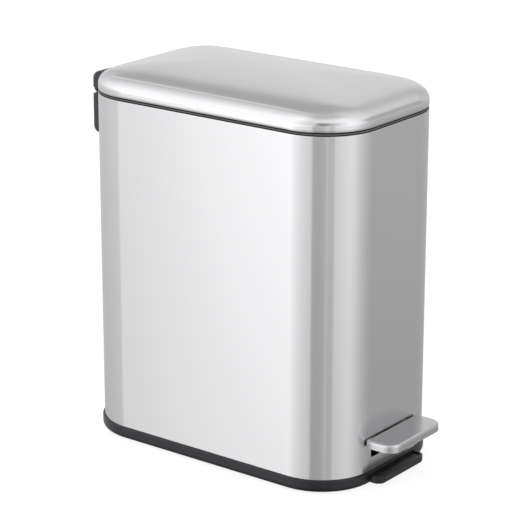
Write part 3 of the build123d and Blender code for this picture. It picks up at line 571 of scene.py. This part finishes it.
def cutter(name, half_x, low, high, y, round_by):
    """A closed block with rounded edges along Y, to cut with."""
    shape = bmesh.new()
    rounded_plate(shape, half_x, (high - low) / 2, 0, 0, round_by, CUTTER_STEPS)
    pushed = bmesh.ops.extrude_face_region(shape, geom=list(shape.faces))
    moved = [v for v in pushed["geom"] if isinstance(v, bmesh.types.BMVert)]
    bmesh.ops.translate(shape, verts=moved, vec=(0, 0, REACH))
    middle = Matrix.Translation((0, y + REACH / 2, (low + high) / 2))
    turn = middle @ Matrix.Rotation(radians(90), 4, "X")
    bmesh.ops.transform(shape, matrix=turn, verts=shape.verts)
    bmesh.ops.recalc_face_normals(shape, faces=shape.faces)
    mesh = bpy.data.meshes.new(name)
    shape.to_mesh(mesh)
    shape.free()
    block = bpy.data.objects.new(name, mesh)
    bpy.context.scene.collection.objects.link(block)
    return block


def cut(made, blocks):
    """Applies one Boolean per block, and takes the blocks away again."""
    for block in blocks:
        take = made.modifiers.new("cut", "BOOLEAN")
        take.operation = "DIFFERENCE"
        take.solver = "EXACT"
        take.object = block
        bpy.context.view_layer.update()
        ready = made.evaluated_get(bpy.context.evaluated_depsgraph_get())
        mesh = bpy.data.meshes.new_from_object(ready)
        made.modifiers.remove(take)
        made.data = mesh
        bpy.data.objects.remove(block)


body_skin = piece("body_skin", wall, body_steel, "can", "body_shell")
cut(body_skin, [
    cutter("slot_cutter", SLOT_HALF, SLOT_LOW, SLOT_HIGH, body_low.y, SLOT_CORNER),
    cutter("window_cutter", WINDOW_HALF, WINDOW_LOW, body_high.z + REACH, body_high.y,
           WINDOW_CORNER),
])
body_skin.data.polygons.foreach_set("use_smooth", [True] * len(body_skin.data.polygons))
body_skin.data.set_sharp_from_angle(angle=radians(SHARP))
weighted(body_skin)
print("body skin", len(body_skin.data.polygons), "faces after cutting")

# %% [markdown]
# ### Lid skin
# The lid is drawn from flat sheet over a form: a short upright wall, then a dome that falls
# away to all sides and draws in faster at the two ends. The dome's side view is a
# superellipse. Each ring of the mesh is extruded from the one below and drawn in by the same
# rule as the last. Where a side slope meets an end slope, a line would run in from each
# corner. Heights there come from a soft maximum of the two slopes, which rounds that line.

# %% Choose the lid's sizes
LID_RIM = lid_low.z
LID_WALL = 3.8 * MM
DOME = lid_high.z - LID_RIM - LID_WALL
DOME_POWER = 2.2                 # of the superellipse
END_DRAW = 1.306                 # how much faster the ends draw in than the sides
CORNER_POWER = 3                 # how soon the corners' radius shrinks
DOME_RINGS = 44
LID_SHEET = 0.7 * MM
LID_TURN = 0.25 * MM             # radius of the rim's outer edge
LID_TURN_FOOT = 0.08 * MM        # height of a point half way round that edge
LID_INSIDE = 1.6 * MM            # how far up the inside of the wall shows
LID_SHARP = 50.0
LID_MERGE = 0.01 * MM
STRAIGHT = 20.0 * MM             # an edge longer than this is a straight side
SOFT_POWER = 7                   # the lower, the rounder the line from each corner
SOFT_FROM = 0.35                 # it fades in over this share, measured from the wall
SIDE_CUTS = 40
END_CUTS = 16
CORNER_STEPS = 20
print("dome", round(DOME / MM, 2), "mm high over a wall of", round(LID_WALL / MM, 2), "mm")


# %% Draw the outline in, and up
def drawn_in(start, share, height, inset=0.0):
    """Where a point of the lid's outline goes when the outline is drawn in to a share."""
    wide = HALF_WIDE * share - inset
    deep = HALF_DEEP - HALF_WIDE * (1 - share) * END_DRAW - inset
    corner = (CORNER - inset) * share ** CORNER_POWER
    keep_x, keep_y = HALF_WIDE - CORNER, HALF_DEEP - CORNER
    core_x = max(-keep_x, min(keep_x, start.x))
    core_y = max(-keep_y, min(keep_y, start.y - MIDDLE_Y))
    away = Vector((start.x - core_x, start.y - MIDDLE_Y - core_y)) / CORNER
    wide, deep = max(wide, corner), max(deep, corner)
    return Vector((core_x / keep_x * (wide - corner) + away.x * corner,
                   core_y / keep_y * (deep - corner) + away.y * corner + MIDDLE_Y, height))


def dome_height(share):
    """Height of the dome above its wall at a share of its width, 1 at the wall."""
    return DOME * (1 - share ** DOME_POWER) ** (1 / DOME_POWER)


def softened(point, share):
    """The share at a point once the line between a side and an end slope is rounded."""
    side = abs(point.x) / HALF_WIDE
    end = max(0.0, 1 - (HALF_DEEP - abs(point.y - MIDDLE_Y)) / (HALF_WIDE * END_DRAW))
    rounded = (side ** SOFT_POWER + end ** SOFT_POWER) ** (1 / SOFT_POWER)
    weight = min(1.0, (1 - share) / SOFT_FROM)
    return min(1.0, share + (rounded - share) * weight * weight * (3 - 2 * weight))


# %% Lay out the lid's outline
def lid_outline(shape):
    """The lid's outline as a loop of edges with points along its straight sides too."""
    rounded_plate(shape, HALF_WIDE, HALF_DEEP, MIDDLE_Y, LID_RIM, CORNER, CORNER_STEPS)
    bmesh.ops.delete(shape, geom=list(shape.faces), context="FACES_ONLY")
    for long_way, cuts in ((1, SIDE_CUTS), (0, END_CUTS)):
        straight = [e for e in shape.edges
                    if abs(e.verts[0].co[long_way] - e.verts[1].co[long_way]) > STRAIGHT]
        bmesh.ops.subdivide_edges(shape, edges=straight, cuts=cuts)
    return list(shape.edges)


dome = bmesh.new()
edges = lid_outline(dome)
start_of = {v: v.co.copy() for v in dome.verts}
print("lid outline", len(edges), "edges")

# %% Press the lid
# the profile as share, height and inset, from the inside of the rim out and over the dome
profile = [(1.0, LID_RIM + LID_INSIDE, LID_SHEET), (1.0, LID_RIM + LID_TURN, LID_SHEET),
           (1.0, LID_RIM, LID_SHEET * 0.6), (1.0, LID_RIM, LID_SHEET * 0.35),
           (1.0, LID_RIM + LID_TURN_FOOT, LID_SHEET * 0.12), (1.0, LID_RIM + LID_TURN, 0.0),
           (1.0, LID_RIM + LID_WALL / 2, 0.0), (1.0, LID_RIM + LID_WALL, 0.0)]
for ring_number in range(1, DOME_RINGS + 1):
    angle = pi / 2 * (1 - ring_number / DOME_RINGS)
    share = max(sin(angle), 0.0) ** (2 / DOME_POWER)
    profile.append((share, LID_RIM + LID_WALL + dome_height(share), 0.0))
for number, (share, height, inset) in enumerate(profile):
    if number:
        grown = bmesh.ops.extrude_edge_only(dome, edges=edges)
        ring_verts = {v for v in grown["geom"] if isinstance(v, bmesh.types.BMVert)}
        edges = [e for e in grown["geom"] if isinstance(e, bmesh.types.BMEdge)]
        for vert in ring_verts:
            beside = [e.other_vert(vert) for e in vert.link_edges]
            below = next(v for v in beside if v not in ring_verts)
            start_of[vert] = start_of[below]
    else:
        ring_verts = set(dome.verts)
    for vert in ring_verts:
        vert.co = drawn_in(start_of[vert], share, height, inset)
        if share < 1:
            vert.co.z = LID_RIM + LID_WALL + dome_height(softened(vert.co, share))
bmesh.ops.remove_doubles(dome, verts=dome.verts, dist=LID_MERGE)
lid_skin = piece("lid_skin", dome, lid_steel, "lid", "lid_shell", sharp=LID_SHARP)
lid_top = max(v.co.z for v in lid_skin.data.vertices)
print("lid skin top", round(lid_top, 4), "CAD", round(lid_high.z, 4))

# %% [markdown]
# ## Give every imported part its finish
# The slots of the record say what each part is made of. The hinge housing has its own mix,
# from a slightly paler masterbatch. The collar is painted paler where it shows in the seam, as
# light on its rim, and near black above and below that ring, as shade in the gaps.

# %% Dress the imported parts
FINISHES = {"brushed_steel": pedal_steel, "black_plastic": black_plastic, "rubber": rubber,
            "grey_plastic": grey_plastic, "zinc_steel": zinc_steel}
SPECIAL = {"hinge_cover": hinge_plastic, "lid_hinge_block": hinge_plastic,
           "top_collar": collar_plastic}
for part in frame["record"]["subparts"]:
    name = part["node"]
    mesh = nodes[name].data
    dress = SPECIAL.get(name, FINISHES[part["material_slot"]])
    if not mesh.materials:
        mesh.materials.append(dress)
    for place in range(len(mesh.materials)):
        mesh.materials[place] = dress
